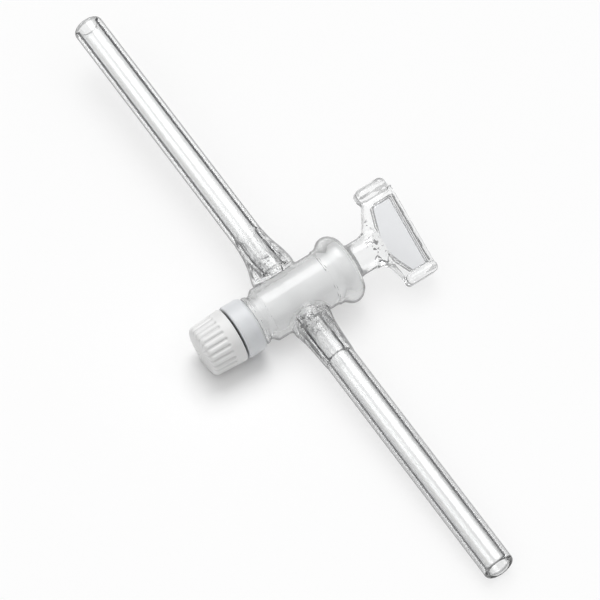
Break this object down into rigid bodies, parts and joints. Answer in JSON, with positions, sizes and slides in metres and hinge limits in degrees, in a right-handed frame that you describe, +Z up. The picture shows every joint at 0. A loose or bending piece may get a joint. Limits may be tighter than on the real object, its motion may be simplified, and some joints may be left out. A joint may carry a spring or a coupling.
{
  "type": "glass stopcock",
  "caption": "Straight-bore laboratory stopcock: glass barrel with opposed side arms and a ground glass plug with a T-handle, held by a ribbed screw cap.",
  "frame": {"origin": "middle of the underside of the whole object's box", "axes": "+Y along the longer side arm, +X along the plug from the screw cap to the handle, +Z up with the object lying flat"},
  "size_m": [0.0706, 0.2156, 0.0207],
  "materials": {
    "clear_glass": "clear, ground in the joint",
    "washer_plastic": "waxy translucent",
    "black_rubber": "matt",
    "white_plastic": "satin moulded"
  },
  "bodies": {
    "barrel": {"barrel": "clear_glass"},
    "plug": {"plug": "clear_glass", "washer": "washer_plastic"},
    "seal": {"o_ring": "black_rubber"},
    "cap": {"screw_cap": "white_plastic"}
  },
  "joints": [
    {"name": "plug_turn", "type": "hinge", "parent": "barrel", "child": "plug", "pos_m": [0, -0.0038, 0.01035], "axis": [1, 0, 0], "continuous": true},
    {"name": "cap_travel", "type": "slide", "parent": "plug", "child": "seal", "axis": [-1, 0, 0], "range_m": [0, 0.0055]},
    {"name": "cap_spin", "type": "hinge", "parent": "seal", "child": "cap", "pos_m": [-0.03, -0.0038, 0.01035], "axis": [-1, 0, 0], "range_deg": [0, 990]}
  ],
  "couplings": [
    {"joint": "cap_spin", "follows": "cap_travel", "rad_per_m": 3141.6}
  ]
}
